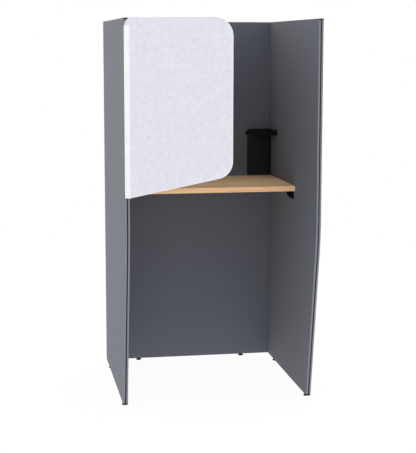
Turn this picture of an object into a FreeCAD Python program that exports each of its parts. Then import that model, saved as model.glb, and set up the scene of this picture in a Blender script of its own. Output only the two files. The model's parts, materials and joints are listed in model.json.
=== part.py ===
import FreeCAD
import Part
import Sketcher
import os
import re

# Standing-height office booth: three sandwich panels, a desk, a hinged felt screen and a corner shelf.
# Frame: origin on the floor under the middle of the panels, +Z up, the open front towards -Y.

SIZES = {
    # panels, each two covered skins on a core that is set back to leave a groove
    "booth_width": "904",
    "panel_depth": "1000",
    "panel_height": "1790",
    "floor_gap": "10",
    "skin_thickness": "8",
    "core_thickness": "6",
    "groove_depth": "8",
    "skin_round": "1.5",
    "knee_height": "800",
    "knee_round": "1000",
    "toe_setback": "148",
    # cam fittings that pull the side panels on to the back panel
    "cam_diameter": "15",
    "cam_depth": "12.5",
    "cam_inset": "24",
    "cam_slot_width": "2",
    "cam_slot_depth": "1.5",
    "joint_bolt_diameter": "5.4",
    "joint_bolt_grip": "5",
    "lowest_joint": "170",
    "highest_joint_drop": "170",
    # desk
    "desk_height": "995",
    "desk_thickness": "25",
    "desk_depth": "520",
    "desk_end_gap": "1",
    "desk_rear_gap": "55",
    "edge_band": "2",
    "edge_round": "1.2",
    # steel angle brackets under the desk
    "bracket_drop": "40",
    "bracket_reach": "26",
    "bracket_width": "40",
    "bracket_plate": "3",
    "gusset_end": "24",
    "gusset_heel": "10",
    "bracket_setback": "27",
    "rear_bracket_setback": "440",
    "bracket_screw_pitch": "20",
    # screws for wood, all of one size
    "screw_shank": "4",
    "screw_head": "8",
    "screw_head_height": "2.4",
    "screw_head_top": "5",
    "screw_bite": "6",
    "desk_screw_bite": "14",
    # felt screen in its edge channel, seen partly open
    "screen_open": "25",
    "screen_width": "490",
    "screen_thickness": "10",
    "screen_low_edge": "1008",
    "screen_rise": "113",
    "screen_corner": "80",
    "screen_hinge_corner": "31",
    "channel_width": "26",
    "channel_wall": "2",
    "channel_top_drop": "33",
    "channel_lap": "1",
    # butt hinges whose fixed tongue is let into the panel core
    "hinge_standoff": "6",
    "hinge_reach": "4",
    "hinge_overlap": "5",
    "hinge_length": "72",
    "hinge_end_distance": "90",
    "hinge_barrel": "7",
    "hinge_pin_diameter": "3.5",
    "hinge_running_gap": "0.05",
    "hinge_knuckle_gap": "0.4",
    "hinge_leaf": "2",
    "hinge_leaf_width": "13",
    "hinge_leaf_gap": "1",
    "hinge_insert": "30",
    "rivet_diameter": "3.2",
    "rivet_head": "6",
    "rivet_head_height": "1.2",
    "rivet_head_top": "3",
    "rivet_pitch": "44",
    # black corner shelf and the plate that props it
    "shelf_height": "1220",
    "shelf_back_length": "122",
    "shelf_side_length": "172",
    "shelf_end": "8",
    "shelf_sheet": "2",
    "shelf_rim": "18",
    "lip_height": "16",
    "lip_drop": "7",
    "shelf_screw_edge": "30",
    "back_block_length": "11",
    "back_block_depth": "12",
    "back_block_height": "14",
    "back_block_drop": "9",
    "side_block_length": "12",
    "side_block_depth": "16",
    "side_block_height": "26",
    "side_block_drop": "4",
    "prop_width": "122",
    "prop_return": "41",
    "prop_sheet": "3",
    "prop_bend": "3",
    "prop_drop": "25",
    "prop_screw_edge": "16",
    "hook_width": "16",
    "hook_drop": "21",
    "hook_throw": "12",
    "hook_turn_up": "9",
    # adjustable feet
    "foot_diameter": "28",
    "foot_height": "6",
    "foot_bevel": "1.5",
    "foot_hex": "13",
    "foot_hex_gap": "0.3",
    "foot_stem_diameter": "8",
    "foot_stem_length": "34",
    "foot_running_gap": "0.1",
    "insert_diameter": "12",
    "insert_length": "38",
    "insert_headroom": "3",
    "back_foot_inset": "150",
    "rear_foot_distance": "150",
    "front_foot_distance": "812",
    # slack of a screw, bolt or insert in its hole
    "fit_gap": "0.1",
}

# Places and sizes that follow from the driving sizes.
FORMULAS = {
    "rear": "panel_depth / 2",
    "front": "-panel_depth / 2",
    "top": "floor_gap + panel_height",
    "panel": "2 * skin_thickness + core_thickness",
    "outer_face": "booth_width / 2",
    "inner_face": "outer_face - panel",
    "panel_middle": "outer_face - panel / 2",
    "back_face": "rear - panel",
    "back_middle": "rear - panel / 2",
    "toe_slope": "atan(toe_setback / (knee_height - floor_gap))",
    "core_knee": "knee_height + groove_depth * tan(toe_slope / 2)",
    "core_toe": "front + toe_setback + groove_depth / cos(toe_slope)",
    "highest_joint": "top - highest_joint_drop",
    "middle_joint": "(lowest_joint + highest_joint) / 2",
    "hole_radius": "screw_shank / 2 + fit_gap",
    "bolt_hole_radius": "joint_bolt_diameter / 2 + fit_gap",
    "socket_radius": "insert_diameter / 2 + fit_gap",
    "socket_depth": "insert_length + insert_headroom",
    "desk_underside": "desk_height - desk_thickness",
    "desk_rear": "back_face - desk_rear_gap",
    "desk_front": "desk_rear - desk_depth",
    "desk_end": "inner_face - desk_end_gap",
    "front_bracket": "desk_front + bracket_setback",
    "rear_bracket": "desk_front + rear_bracket_setback",
    "bracket_wall_hole": "desk_underside - bracket_plate - (bracket_drop - bracket_plate) / 2",
    "bracket_desk_hole": "inner_face - bracket_plate - (bracket_reach - bracket_plate) / 2",
    "hinge_x": "-panel_middle",
    "hinge_y": "front - hinge_standoff",
    "channel_thickness": "screen_thickness + 2 * channel_wall",
    "channel_back": "-hinge_reach",
    "channel_front": "-hinge_reach - channel_thickness",
    "channel_left": "-hinge_overlap",
    "channel_right": "channel_left + channel_width",
    "channel_bottom": "screen_low_edge - channel_lap",
    "channel_top": "top - channel_top_drop",
    "felt_left": "channel_left + channel_wall",
    "felt_right": "channel_left + screen_width",
    "lower_hinge": "channel_bottom + hinge_end_distance",
    "upper_hinge": "channel_top - hinge_end_distance - hinge_length",
    "barrel_radius": "hinge_barrel / 2",
    "leaf_start": "barrel_radius + hinge_leaf_gap",
    "shelf_left": "inner_face - shelf_back_length",
    "shelf_front": "back_face - shelf_side_length",
    "shelf_run": "shelf_back_length - shelf_end",
    "shelf_throw": "shelf_side_length - shelf_end",
    "lip_length": "sqrt(shelf_run ^ 2 + shelf_throw ^ 2)",
    "shelf_screw_height": "shelf_height + shelf_sheet + (shelf_rim - shelf_sheet) / 2",
    "lip_low": "shelf_height - lip_drop",
    "lip_high": "lip_low + lip_height",
    "prop_left": "inner_face - prop_width",
    "prop_low": "desk_height - prop_drop",
    "back_foot": "inner_face - back_foot_inset",
    "hex_height": "floor_gap - foot_height - foot_hex_gap",
}

BACK, SIDE, FLAT = "XZ_Plane", "YZ_Plane", "XY_Plane"
AXES = {
    "+X": FreeCAD.Vector(1, 0, 0),
    "-X": FreeCAD.Vector(-1, 0, 0),
    "+Y": FreeCAD.Vector(0, 1, 0),
    "-Y": FreeCAD.Vector(0, -1, 0),
    "+Z": FreeCAD.Vector(0, 0, 1),
    "-Z": FreeCAD.Vector(0, 0, -1),
}

doc = FreeCAD.newDocument("office_booth")
sheet = doc.addObject("Spreadsheet::Sheet", "Sizes")
for row, (alias, size) in enumerate(SIZES.items(), start=1):
    sheet.set(f"A{row}", alias)
    sheet.set(f"B{row}", size)
    sheet.setAlias(f"B{row}", alias)
doc.recompute()

subparts = []


def bound(text):
    """The expression for a formula text, with every name replaced by its cell or its own formula."""

    def replace(match):
        name = match.group(0)
        if name in SIZES:
            return f"Sizes.{name}"
        if name in FORMULAS:
            return f"({bound(FORMULAS[name])})"
        return name

    return re.sub(r"[a-z_]+", replace, text)


def number(text):
    value = sheet.evalExpression(bound(text))
    return float(getattr(value, "Value", value))


def place(thing, x="0", y="0", z="0"):
    for axis, text in (("x", x), ("y", y), ("z", z)):
        thing.setExpression(f"Placement.Base.{axis}", bound(text))


def keep(thing, label):
    """Mark an object as a sub-part, which is written to a file of its own."""
    thing.Label = label
    subparts.append(thing)
    return thing


def new_body(label):
    return keep(doc.addObject("PartDesign::Body", label), label)


def new_sketch(body, plane, offset):
    sketch = body.newObject("Sketcher::SketchObject", "outline")
    origin = next(item for item in body.Origin.OriginFeatures if item.Role == plane)
    sketch.AttachmentSupport = [(origin, "")]
    sketch.MapMode = "FlatFace"
    # the normal of the XZ plane points to -Y
    text = f"-({offset})" if plane == BACK else offset
    sketch.setExpression("AttachmentOffset.Base.z", bound(text))
    return sketch


def fix(sketch, kind, target, text):
    """Hold a point or a curve of a sketch at the value of a formula."""
    value = number(text)
    index = sketch.addConstraint(Sketcher.Constraint(kind, *target, value))
    sketch.setExpression(f"Constraints[{index}]", bound(text))


def polygon(body, plane, points, offset="0"):
    sketch = new_sketch(body, plane, offset)
    corners = [FreeCAD.Vector(number(u), number(v), 0) for u, v in points]
    count = len(corners)
    for index in range(count):
        sketch.addGeometry(Part.LineSegment(corners[index], corners[(index + 1) % count]), False)
    for index in range(count):
        sketch.addConstraint(Sketcher.Constraint("Coincident", index, 2, (index + 1) % count, 1))
    for index, (u, v) in enumerate(points):
        fix(sketch, "DistanceX", (-1, 1, index, 1), u)
        fix(sketch, "DistanceY", (-1, 1, index, 1), v)
    return sketch


def rectangle(body, plane, u_range, v_range, offset="0"):
    (left, right), (low, high) = u_range, v_range
    return polygon(body, plane, [(left, low), (right, low), (right, high), (left, high)], offset)


def circles(body, plane, centres, radius, offset="0"):
    sketch = new_sketch(body, plane, offset)
    for index, (u, v) in enumerate(centres):
        centre = FreeCAD.Vector(number(u), number(v), 0)
        sketch.addGeometry(Part.Circle(centre, AXES["+Z"], number(radius)), False)
        fix(sketch, "DistanceX", (-1, 1, index, 3), u)
        fix(sketch, "DistanceY", (-1, 1, index, 3), v)
        fix(sketch, "Radius", (index,), radius)
    return sketch


def pad(body, sketch, length):
    """Extrude a sketch along +X, -Y or +Z, the normals of the three planes."""
    feature = body.newObject("PartDesign::Pad", "pad")
    feature.Profile = sketch
    feature.setExpression("Length", bound(length))
    return feature


def pocket(body, sketch, length=None, along_normal=False):
    """Cut a sketch through everything, or to a depth against or along its plane's normal."""
    feature = body.newObject("PartDesign::Pocket", "pocket")
    feature.Profile = sketch
    if length is None:
        feature.Type = "ThroughAll"
        feature.SideType = "Symmetric"
    else:
        feature.setExpression("Length", bound(length))
        feature.Reversed = along_normal
    return feature


def fillet(body, feature, radius, chosen):
    doc.recompute()
    edges = [f"Edge{i}" for i, edge in enumerate(feature.Shape.Edges, start=1) if chosen(edge)]
    rounding = body.newObject("PartDesign::Fillet", "rounding")
    rounding.Base = (feature, edges)
    rounding.setExpression("Radius", bound(radius))
    return rounding


def lies_at(axis, text):
    """A test for edges that lie in the plane where a coordinate has a formula's value."""
    value = number(text)

    def test(edge):
        box = edge.BoundBox
        low, high = getattr(box, f"{axis}Min"), getattr(box, f"{axis}Max")
        return abs(low - value) < 1e-4 and abs(high - value) < 1e-4

    return test


def both(first, second):
    return lambda edge: first(edge) and second(edge)


def solid(kind, point, axis="+Z", **sizes):
    """A Part primitive at a point, turned from +Z to an axis."""
    thing = doc.addObject(f"Part::{kind}", kind)
    thing.Placement = FreeCAD.Placement(FreeCAD.Vector(), FreeCAD.Rotation(AXES["+Z"], AXES[axis]))
    place(thing, *point)
    for name, text in sizes.items():
        thing.setExpression(name, bound(text))
    return thing


def cylinder(point, axis, diameter, height):
    return solid("Cylinder", point, axis, Radius=f"({diameter}) / 2", Height=height)


def tapered(point, axis, base, tip, height):
    """A cone that narrows from one diameter to another."""
    return solid("Cone", point, axis, Radius1=f"({base}) / 2", Radius2=f"({tip}) / 2", Height=height)


def block(point, length, width, height):
    return solid("Box", point, Length=length, Width=width, Height=height)


def joined(*pieces):
    fuse = doc.addObject("Part::MultiFuse", "joined")
    fuse.Shapes = list(pieces)
    return fuse


def less(base, *tools):
    """A base with tools cut away, one after another."""
    for tool in tools:
        cut = doc.addObject("Part::Cut", "less")
        cut.Base = base
        cut.Tool = tool
        base = cut
    return base


def group(label, pieces):
    compound = doc.addObject("Part::Compound", label)
    compound.Links = pieces
    return keep(compound, label)


OPPOSITE = {"+X": "-X", "-X": "+X", "+Y": "-Y", "-Y": "+Y", "+Z": "-Z", "-Z": "+Z"}


def screw(point, axis, length):
    """A pan head screw whose head seats at a point and whose shank runs along an axis."""
    head = tapered(point, OPPOSITE[axis], "screw_head", "screw_head_top", "screw_head_height")
    return joined(head, cylinder(point, axis, "screw_shank", length))


# Places shared by holes and what goes in them.
JOINT_HEIGHTS = ["lowest_joint", "middle_joint", "highest_joint"]
SIDE_FOOT_PLACES = {"rear": "rear - rear_foot_distance", "front": "rear - front_foot_distance"}
BRACKET_PLACES = {"front": "front_bracket", "rear": "rear_bracket"}
SIDES = {"left": "-1", "right": "1"}
HINGES = {"upper": "upper_hinge", "lower": "lower_hinge"}


def bracket_screw_rows():
    """The Y of each screw along the desk brackets."""
    rows = []
    for start in BRACKET_PLACES.values():
        for step in ("-0.5", "0.5"):
            rows.append(f"{start} + bracket_width / 2 + {step} * bracket_screw_pitch")
    return rows


PROP_SCREWS = [
    (x, z)
    for x in ("prop_left + prop_screw_edge", "inner_face - prop_screw_edge")
    for z in ("prop_low + prop_screw_edge", "shelf_height - prop_screw_edge")
]
SHELF_BACK_SCREWS = [
    ("shelf_left + shelf_screw_edge", "shelf_screw_height"),
    ("inner_face - shelf_screw_edge", "shelf_screw_height"),
]
SHELF_SIDE_SCREWS = [
    ("back_face - shelf_screw_edge", "shelf_screw_height"),
    ("shelf_front + shelf_screw_edge", "shelf_screw_height"),
]


def side_sockets(body, sign):
    """Cut the bores for the threaded inserts of the two feet of a side panel."""
    centres = [(f"{sign} * panel_middle", y) for y in SIDE_FOOT_PLACES.values()]
    pocket(body, circles(body, FLAT, centres, "socket_radius", "floor_gap"), "socket_depth", True)


def back_sockets(body):
    centres = [(f"{sign} * back_foot", "back_middle") for sign in SIDES.values()]
    pocket(body, circles(body, FLAT, centres, "socket_radius", "floor_gap"), "socket_depth", True)


def side_panel(side, sign):
    """Outer skin, core and inner skin of one side panel, with its front edge drawn in below a round knee."""
    knee = ("front", "knee_height")
    outline = [
        ("rear", "floor_gap"),
        ("rear", "top"),
        ("front", "top"),
        knee,
        ("front + toe_setback", "floor_gap"),
    ]
    core_knee = ("front + groove_depth", "core_knee")
    core_outline = [
        ("rear - groove_depth", "floor_gap"),
        ("rear - groove_depth", "top - groove_depth"),
        ("front + groove_depth", "top - groove_depth"),
        core_knee,
        ("core_toe", "floor_gap"),
    ]
    # each layer is given by the distances of its two faces from the booth's middle
    layers = {
        "outer_skin": ("outer_face - skin_thickness", "outer_face"),
        "core": ("inner_face + skin_thickness", "outer_face - skin_thickness"),
        "inner_skin": ("inner_face", "inner_face + skin_thickness"),
    }
    bolt_holes = [("back_middle", z) for z in JOINT_HEIGHTS]
    for name, (near, far) in layers.items():
        start = near if side == "right" else f"-({far})"
        body = new_body(f"{side}_{name}")
        if name == "core":
            profile, (y, z), radius = core_outline, core_knee, "knee_round - groove_depth"
        else:
            profile, (y, z), radius = outline, knee, "knee_round"
        sheet_pad = pad(body, polygon(body, SIDE, profile, start), f"{far} - ({near})")
        bent = fillet(body, sheet_pad, radius, both(lies_at("Y", y), lies_at("Z", z)))
        if name != "core":
            show_face = far if name == "outer_skin" else near
            fillet(body, bent, "skin_round", lies_at("X", f"{sign} * ({show_face})"))
        side_sockets(body, sign)
        if name == "inner_skin":
            pocket(body, circles(body, SIDE, bolt_holes, "bolt_hole_radius"))
            screws = [(y, "bracket_wall_hole") for y in bracket_screw_rows()]
            if side == "right":
                screws += SHELF_SIDE_SCREWS
            holes = circles(body, SIDE, screws, "hole_radius", f"{sign} * inner_face")
            pocket(body, holes, "screw_bite + fit_gap", side == "right")
        if name == "core":
            holes = circles(body, SIDE, bolt_holes, "bolt_hole_radius", f"{sign} * ({near})")
            pocket(body, holes, "joint_bolt_grip + fit_gap", side == "right")
        if name == "core" and side == "left":
            for height in HINGES.values():
                notch = rectangle(
                    body,
                    SIDE,
                    ("front", "front + groove_depth + hinge_insert + fit_gap"),
                    (f"{height} - fit_gap", f"{height} + hinge_length + fit_gap"),
                )
                pocket(body, notch)


def back_panel():
    """Rear skin, core and inner skin of the back panel, held between the side panels."""
    width = ("-inner_face", "inner_face")
    cams = [(f"{sign} * (inner_face - cam_inset)", z) for sign in SIDES.values() for z in JOINT_HEIGHTS]

    rear_skin = new_body("back_outer_skin")
    face = pad(rear_skin, rectangle(rear_skin, BACK, width, ("floor_gap", "top"), "rear"), "skin_thickness")
    fillet(rear_skin, face, "skin_round", lies_at("Y", "rear"))
    back_sockets(rear_skin)
    pocket(rear_skin, circles(rear_skin, BACK, cams, "cam_diameter / 2 + fit_gap"))

    core = new_body("back_core")
    core_rear = "rear - skin_thickness"
    heights = ("floor_gap", "top - groove_depth")
    pad(core, rectangle(core, BACK, width, heights, core_rear), "core_thickness")
    back_sockets(core)
    cam_holes = circles(core, BACK, cams, "cam_diameter / 2 + fit_gap", core_rear)
    pocket(core, cam_holes, "cam_depth - skin_thickness + fit_gap", True)
    for sign in SIDES.values():
        for height in JOINT_HEIGHTS:
            slot = rectangle(
                core,
                BACK,
                (f"{sign} * (inner_face - cam_inset)", f"{sign} * inner_face"),
                (f"{height} - bolt_hole_radius", f"{height} + bolt_hole_radius"),
            )
            pocket(core, slot)

    inner_skin = new_body("back_inner_skin")
    start = "back_face + skin_thickness"
    face = pad(inner_skin, rectangle(inner_skin, BACK, width, ("floor_gap", "top"), start), "skin_thickness")
    fillet(inner_skin, face, "skin_round", lies_at("Y", "back_face"))
    back_sockets(inner_skin)
    holes = circles(inner_skin, BACK, PROP_SCREWS + SHELF_BACK_SCREWS, "hole_radius", "back_face")
    pocket(inner_skin, holes, "screw_bite + fit_gap")


def panel_joints():
    """Cams let into the rear face, and the bolts that they draw out of the side panels."""
    cams = []
    bolts = []
    for side, sign in SIDES.items():
        centre = f"{sign} * (inner_face - cam_inset)"
        outward = "+X" if side == "right" else "-X"
        for height in JOINT_HEIGHTS:
            middle = (centre, "back_middle", height)
            disc = cylinder((centre, "rear", height), "-Y", "cam_diameter", "cam_depth")
            bore = cylinder(middle, outward, "2 * bolt_hole_radius", "cam_diameter")
            corner = (f"{centre} - cam_diameter", "rear - cam_slot_depth", f"{height} - cam_slot_width / 2")
            slot = block(corner, "2 * cam_diameter", "2 * cam_slot_depth", "cam_slot_width")
            cams.append(less(disc, bore, slot))
            length = "cam_inset + skin_thickness + joint_bolt_grip"
            bolts.append(cylinder(middle, outward, "joint_bolt_diameter", length))
    group("panel_cams", cams)
    group("panel_joint_bolts", bolts)


def desk():
    """The board with a separate band along its front edge."""
    board = new_body("desk_board")
    ends = ("-desk_end", "desk_end")
    outline = rectangle(board, FLAT, ends, ("desk_front + edge_band", "desk_rear"), "desk_underside")
    pad(board, outline, "desk_thickness")
    holes = [(f"{sign} * bracket_desk_hole", y) for sign in SIDES.values() for y in bracket_screw_rows()]
    pilot = circles(board, FLAT, holes, "hole_radius", "desk_underside")
    pocket(board, pilot, "desk_screw_bite + fit_gap", True)

    band = new_body("desk_edge_band")
    face = pad(band, rectangle(band, FLAT, ends, ("desk_front", "desk_front + edge_band"), "desk_underside"),
               "desk_thickness")
    long_edges = both(lies_at("Y", "desk_front"), lambda edge: edge.BoundBox.XLength > number("edge_band"))
    fillet(band, face, "edge_round", long_edges)


def desk_bracket(side, sign, place_name, start):
    """A pressed angle under the desk, closed at each end by a gusset with its lower corner cut off."""
    body = new_body(f"desk_bracket_{side}_{place_name}")
    wall = f"{sign} * inner_face"
    plate = f"{sign} * (inner_face - bracket_plate)"
    heel = f"{sign} * (inner_face - gusset_heel)"
    tip = f"{sign} * (inner_face - bracket_reach)"
    under = "desk_underside - bracket_plate"
    foot = "desk_underside - bracket_drop"
    angle = [(wall, foot), (plate, foot), (plate, under), (tip, under), (tip, "desk_underside"),
             (wall, "desk_underside")]
    pad(body, polygon(body, BACK, angle, f"{start} + bracket_width"), "bracket_width")
    web = [(plate, foot), (plate, under), (tip, under), (tip, "desk_underside - gusset_end"), (heel, foot)]
    for edge in (f"{start} + bracket_plate", f"{start} + bracket_width"):
        pad(body, polygon(body, BACK, web, edge), "bracket_plate")
    rows = [f"{start} + bracket_width / 2 + {step} * bracket_screw_pitch" for step in ("-0.5", "0.5")]
    wall_holes = circles(body, SIDE, [(y, "bracket_wall_hole") for y in rows], "hole_radius")
    pocket(body, wall_holes)
    desk_holes = circles(body, FLAT, [(f"{sign} * bracket_desk_hole", y) for y in rows], "hole_radius")
    pocket(body, desk_holes)


def desk_fixings():
    wall_screws = []
    desk_screws = []
    for side, sign in SIDES.items():
        outward = "+X" if side == "right" else "-X"
        for place_name, start in BRACKET_PLACES.items():
            desk_bracket(side, sign, place_name, start)
        for y in bracket_screw_rows():
            seat = (f"{sign} * (inner_face - bracket_plate)", y, "bracket_wall_hole")
            wall_screws.append(screw(seat, outward, "bracket_plate + screw_bite"))
            seat = (f"{sign} * bracket_desk_hole", y, "desk_underside - bracket_plate")
            desk_screws.append(screw(seat, "+Z", "bracket_plate + desk_screw_bite"))
    group("bracket_wall_screws", wall_screws)
    group("bracket_desk_screws", desk_screws)


def swing(thing):
    """Set a piece that is drawn about the hinge axis, with the screen shut, to the open angle."""
    place(thing, "hinge_x", "hinge_y")
    thing.setExpression("Placement.Rotation.Angle", bound("-screen_open"))


def screen():
    """Felt board with a sloping lower edge, gripped along its hinge side by an aluminium channel."""
    felt = new_body("screen_felt")
    outline = [
        ("felt_left", "screen_low_edge"),
        ("channel_right", "screen_low_edge"),
        ("felt_right", "screen_low_edge + screen_rise"),
        ("felt_right", "top"),
        ("felt_left", "top"),
    ]
    board = pad(felt, polygon(felt, BACK, outline, "channel_back - channel_wall"), "screen_thickness")
    free_corners = both(lies_at("X", "felt_right"), lambda edge: edge.BoundBox.ZLength < number("fit_gap"))
    rounded = fillet(felt, board, "screen_corner", free_corners)
    fillet(felt, rounded, "screen_hinge_corner", both(lies_at("X", "felt_left"), lies_at("Z", "top")))
    swing(felt)

    channel = new_body("screen_channel")
    front_inside = "channel_front + channel_wall"
    back_inside = "channel_back - channel_wall"
    section = [
        ("channel_left", "channel_back"),
        ("channel_left", "channel_front"),
        ("channel_right", "channel_front"),
        ("channel_right", front_inside),
        ("felt_left", front_inside),
        ("felt_left", back_inside),
        ("channel_right", back_inside),
        ("channel_right", "channel_back"),
    ]
    pad(channel, polygon(channel, FLAT, section, "channel_bottom"), "channel_top - channel_bottom")
    rivet_holes = [(rivet_x(), z) for z in rivet_heights()]
    holes = circles(channel, BACK, rivet_holes, "rivet_diameter / 2 + fit_gap", "channel_back")
    pocket(channel, holes, "channel_wall", True)
    swing(channel)


def rivet_x():
    return "leaf_start + hinge_leaf_width / 2"


def rivet_heights():
    heights = []
    for start in HINGES.values():
        for step in ("-0.5", "0.5"):
            heights.append(f"{start} + hinge_length / 2 + {step} * rivet_pitch")
    return heights


def hinge(name, start):
    """A butt hinge: a tongue in the panel core with two knuckles, a leaf with one, and a pin."""
    third = "hinge_length / 3"
    bore = "hinge_pin_diameter / 2"
    knuckle_base = f"{start} + {third} + hinge_knuckle_gap"
    knuckle_length = f"{third} - 2 * hinge_knuckle_gap"

    tongue = new_body(f"hinge_tongue_{name}")
    clear = "barrel_radius + hinge_knuckle_gap"
    depth = (clear, "hinge_standoff + groove_depth + hinge_insert")
    plate = ("-core_thickness / 2", "core_thickness / 2")
    pad(tongue, rectangle(tongue, FLAT, plate, depth, start), "hinge_length")
    web = ("-hinge_leaf / 2", "hinge_leaf / 2")
    pad(tongue, rectangle(tongue, FLAT, web, ("0", f"{clear} + hinge_leaf"), start), "hinge_length")
    pad(tongue, circles(tongue, FLAT, [("0", "0")], "barrel_radius", start), "hinge_length")
    gap = rectangle(tongue, FLAT, (f"-({clear})", clear), (f"-({clear})", clear), f"{start} + {third}")
    pocket(tongue, gap, third, True)
    pocket(tongue, circles(tongue, FLAT, [("0", "0")], f"{bore} + hinge_running_gap"))
    place(tongue, "hinge_x", "hinge_y")

    leaf = new_body(f"hinge_leaf_{name}")
    plate = ("leaf_start", "leaf_start + hinge_leaf_width")
    thickness = ("channel_back", "channel_back + hinge_leaf")
    pad(leaf, rectangle(leaf, FLAT, plate, thickness, start), "hinge_length")
    web = ("0", "leaf_start + hinge_leaf")
    web_depth = ("-barrel_radius", "channel_back + hinge_leaf")
    pad(leaf, rectangle(leaf, FLAT, web, web_depth, knuckle_base), knuckle_length)
    pad(leaf, circles(leaf, FLAT, [("0", "0")], "barrel_radius", knuckle_base), knuckle_length)
    pocket(leaf, circles(leaf, FLAT, [("0", "0")], f"{bore} + hinge_running_gap"))
    rows = [(rivet_x(), f"{start} + hinge_length / 2 + {step} * rivet_pitch") for step in ("-0.5", "0.5")]
    pocket(leaf, circles(leaf, BACK, rows, "rivet_diameter / 2 + fit_gap"))
    swing(leaf)

    pin = cylinder(("hinge_x", "hinge_y", start), "+Z", "hinge_pin_diameter", "hinge_length")
    keep(pin, f"hinge_pin_{name}")


def screen_rivets():
    rivets = []
    for height in rivet_heights():
        seat = (rivet_x(), "channel_back + hinge_leaf", height)
        head = tapered(seat, "+Y", "rivet_head", "rivet_head_top", "rivet_head_height")
        shank = cylinder(seat, "-Y", "rivet_diameter", "hinge_leaf + channel_wall")
        rivets.append(joined(head, shank))
    swing(group("screen_rivets", rivets))


def corner_shelf():
    """A folded three-sided shelf in the rear right corner with a lip across its open side."""
    body = new_body("corner_shelf")
    back, wall = "back_face", "inner_face"
    lip_start = ("shelf_left", "back_face - shelf_end")
    lip_finish = ("inner_face - shelf_end", "shelf_front")
    base = [("shelf_left", back), (wall, back), (wall, "shelf_front"), lip_finish, lip_start]
    pad(body, polygon(body, FLAT, base, "shelf_height"), "shelf_sheet")
    back_rim = rectangle(body, FLAT, ("shelf_left", wall), ("back_face - shelf_sheet", back), "shelf_height")
    pad(body, back_rim, "shelf_rim")
    rim_width = ("inner_face - shelf_sheet", wall)
    side_rim = rectangle(body, FLAT, rim_width, ("shelf_front", back), "shelf_height")
    pad(body, side_rim, "shelf_rim")
    lip = [
        lip_start,
        lip_finish,
        ("inner_face - shelf_end + shelf_sheet * lip_length / shelf_throw", "shelf_front"),
        ("shelf_left", "back_face - shelf_end + shelf_sheet * lip_length / shelf_run"),
    ]
    pad(body, polygon(body, FLAT, lip, "lip_low"), "lip_height")
    back_holes = circles(body, BACK, SHELF_BACK_SCREWS, "hole_radius", "back_face - shelf_sheet")
    pocket(body, back_holes, "shelf_sheet")
    side_holes = circles(body, SIDE, SHELF_SIDE_SCREWS, "hole_radius", "inner_face - shelf_sheet")
    pocket(body, side_holes, "shelf_sheet", True)


def shelf_prop():
    """A folded plate under the shelf, along the back panel and a little way round the corner."""
    prop = new_body("shelf_prop_plate")
    front, side = "back_face - prop_sheet", "inner_face - prop_sheet"
    section = [
        ("prop_left", "back_face"),
        ("inner_face", "back_face"),
        ("inner_face", "back_face - prop_return"),
        (side, "back_face - prop_return"),
        (side, front),
        ("prop_left", front),
    ]
    folded = pad(prop, polygon(prop, FLAT, section, "prop_low"), "shelf_height - prop_low")
    fillet(prop, folded, "prop_bend", both(lies_at("X", side), lies_at("Y", front)))
    pocket(prop, circles(prop, BACK, PROP_SCREWS, "hole_radius", front), "prop_sheet")


def shelf_trim():
    """Blocks that close the two ends of the lip, the hook on its middle, and the screws."""
    base = "shelf_height - back_block_drop"
    corner = ("shelf_left - back_block_length", "back_face - back_block_depth", base)
    back_block = block(corner, "back_block_length", "back_block_depth", "back_block_height")
    keep(back_block, "shelf_end_block_back")
    base = "shelf_height - side_block_drop"
    corner = ("inner_face - side_block_depth", "shelf_front - side_block_length", base)
    side_block = block(corner, "side_block_depth", "side_block_length", "side_block_height")
    keep(side_block, "shelf_end_block_side")

    hook = new_body("shelf_hook")
    strip = "shelf_sheet"
    low = "lip_high - hook_drop"
    profile = [
        ("0", "lip_high"),
        ("0", low),
        ("-hook_throw", low),
        ("-hook_throw", f"{low} + hook_turn_up"),
        (f"-hook_throw + {strip}", f"{low} + hook_turn_up"),
        (f"-hook_throw + {strip}", f"{low} + {strip}"),
        (f"-{strip}", f"{low} + {strip}"),
        (f"-{strip}", "lip_high"),
    ]
    pad(hook, polygon(hook, SIDE, profile, "-hook_width / 2"), "hook_width")
    place(hook, "shelf_left + shelf_run / 2", "back_face - shelf_end - shelf_throw / 2")
    hook.setExpression("Placement.Rotation.Angle", bound("-atan(shelf_throw / shelf_run)"))

    shelf_screws = [screw((x, "back_face - shelf_sheet", z), "+Y", "shelf_sheet + screw_bite")
                    for x, z in SHELF_BACK_SCREWS]
    shelf_screws += [screw(("inner_face - shelf_sheet", y, z), "+X", "shelf_sheet + screw_bite")
                     for y, z in SHELF_SIDE_SCREWS]
    group("shelf_screws", shelf_screws)
    prop_screws = [screw((x, "back_face - prop_sheet", z), "+Y", "prop_sheet + screw_bite")
                   for x, z in PROP_SCREWS]
    group("shelf_prop_screws", prop_screws)


def foot_places():
    """The name and the X and Y of each foot."""
    places = {}
    for side, sign in SIDES.items():
        places[f"back_{side}"] = (f"{sign} * back_foot", "back_middle")
        for name, y in SIDE_FOOT_PLACES.items():
            places[f"{side}_{name}"] = (f"{sign} * panel_middle", y)
    return places


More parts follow.
